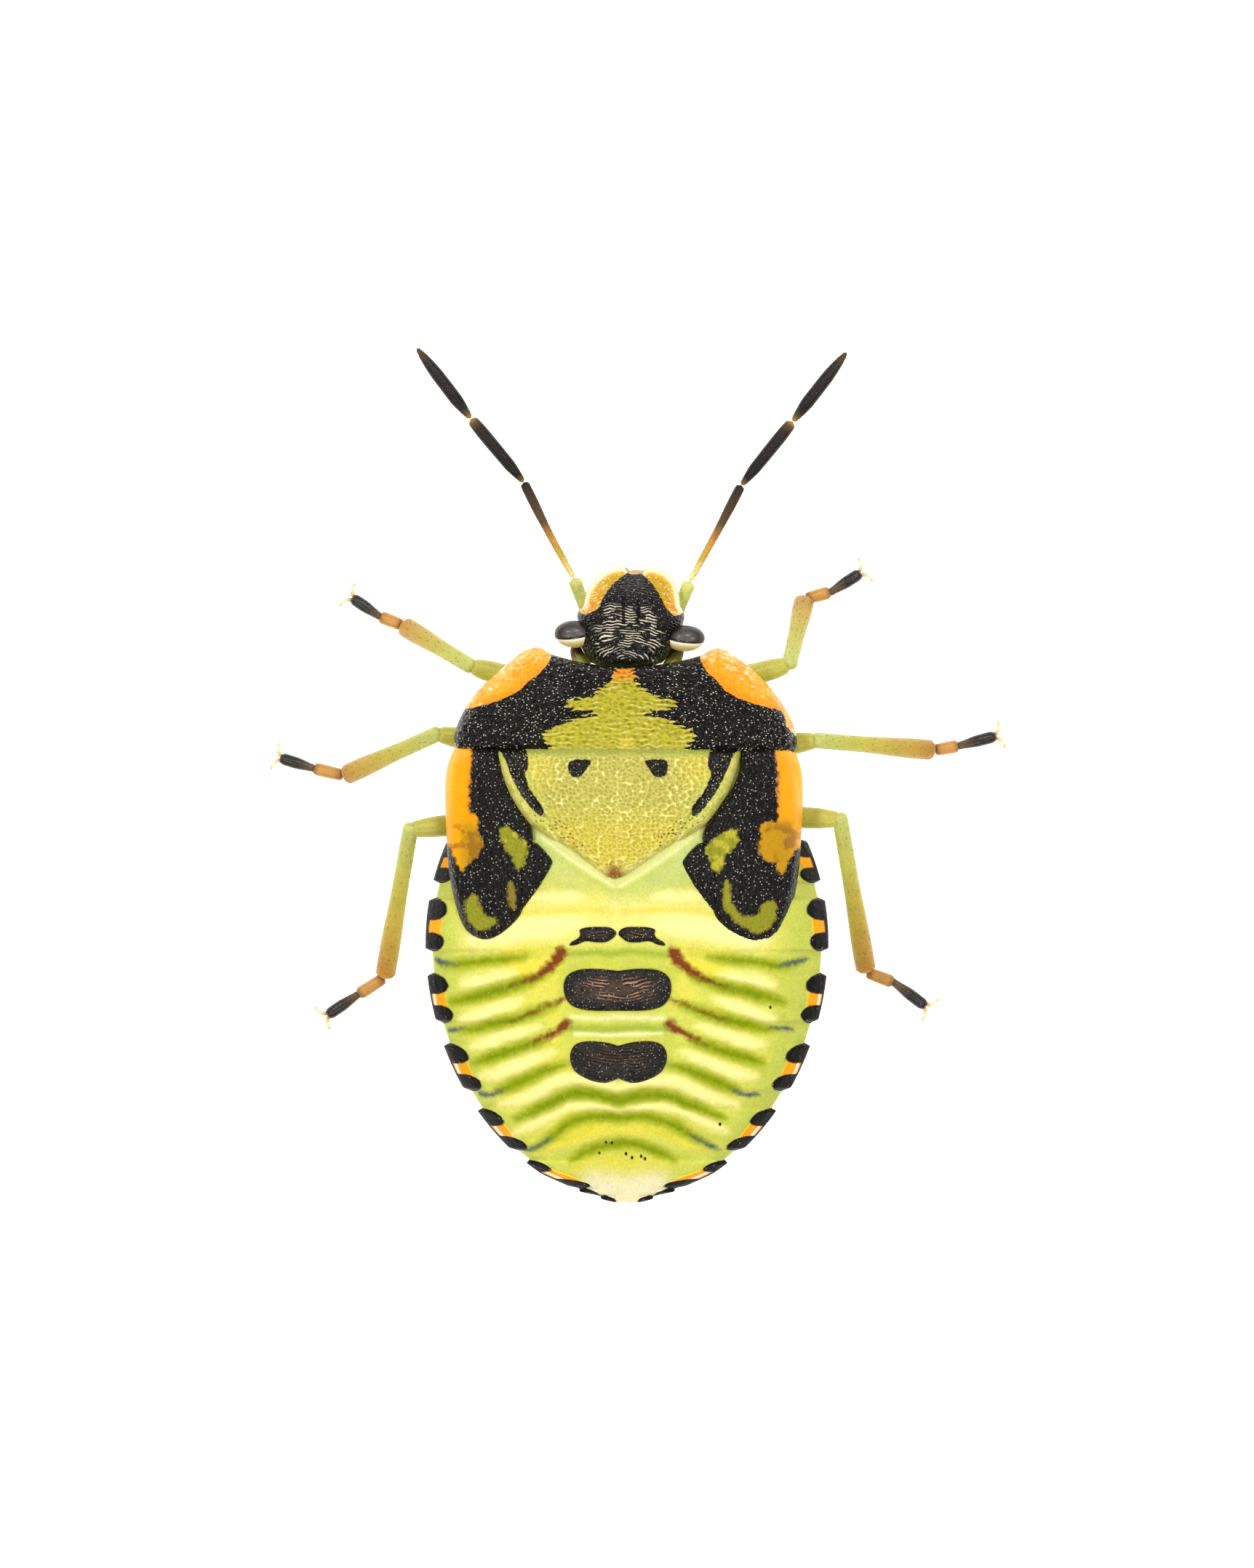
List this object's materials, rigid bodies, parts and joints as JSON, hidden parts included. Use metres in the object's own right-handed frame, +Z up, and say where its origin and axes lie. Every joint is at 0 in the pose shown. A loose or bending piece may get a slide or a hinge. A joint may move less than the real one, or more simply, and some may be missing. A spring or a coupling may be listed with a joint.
{
  "type": "shield bug nymph",
  "caption": "Still, life-size green shield bug nymph in its last stage, standing on six legs with feelers forward, short wing pads and a broad banded abdomen with spotted side plates.",
  "frame": {"origin": "on the floor, under the middle of the animal's box from feeler tips to tail and from foot to foot, which is within 0.3 mm of the middle of its body", "axes": "+Z is up, away from the floor; the head faces -Y and the tail +Y; +X is the animal's left side"},
  "size_m": [0.0151, 0.0172, 0.0045],
  "materials": {
    "head_shell": "black, finely wrinkled and pitted, with golden orange side lobes and a semi-gloss skin",
    "eye": "dark grey, smooth and glossy with a pale hind rim",
    "feeler": "dark brown to black with pale joints, satin, with very fine hairs",
    "limb": "yellow-green, satin and a little translucent, amber towards the foot",
    "foot": "amber brown to black, glossy",
    "neck_shield": "black and pitted with orange sides and an olive-green middle, semi-gloss",
    "scutellum": "olive yellow-green, densely pitted, two black spots, semi-gloss",
    "wing_pad": "black and granular with an orange outer margin and yellow-green patches",
    "underside": "pale yellow-green, satin",
    "abdomen": "pale cream and yellow-green in wavy cross bands, satin and translucent, with black gland plates and black and orange side plates"
  },
  "bodies": {
    "root": {"head": "head_shell", "eye_left": "eye", "eye_right": "eye", "antenna_left_1": "limb", "antenna_left_2": "feeler", "antenna_left_3": "feeler", "antenna_left_4": "feeler", "antenna_right_1": "limb", "antenna_right_2": "feeler", "antenna_right_3": "feeler", "antenna_right_4": "feeler", "beak": "limb", "pronotum": "neck_shield", "scutellum": "scutellum", "wing_pad_left": "wing_pad", "wing_pad_right": "wing_pad", "thorax": "underside", "abdomen": "abdomen", "coxa_fore_left": "limb", "femur_fore_left": "limb", "tibia_fore_left": "limb", "tarsus_fore_left": "foot", "coxa_fore_right": "limb", "femur_fore_right": "limb", "tibia_fore_right": "limb", "tarsus_fore_right": "foot", "coxa_mid_left": "limb", "femur_mid_left": "limb", "tibia_mid_left": "limb", "tarsus_mid_left": "foot", "coxa_mid_right": "limb", "femur_mid_right": "limb", "tibia_mid_right": "limb", "tarsus_mid_right": "foot", "coxa_hind_left": "limb", "femur_hind_left": "limb", "tibia_hind_left": "limb", "tarsus_hind_left": "foot", "coxa_hind_right": "limb", "femur_hind_right": "limb", "tibia_hind_right": "limb", "tarsus_hind_right": "foot"}
  },
  "joints": []
}
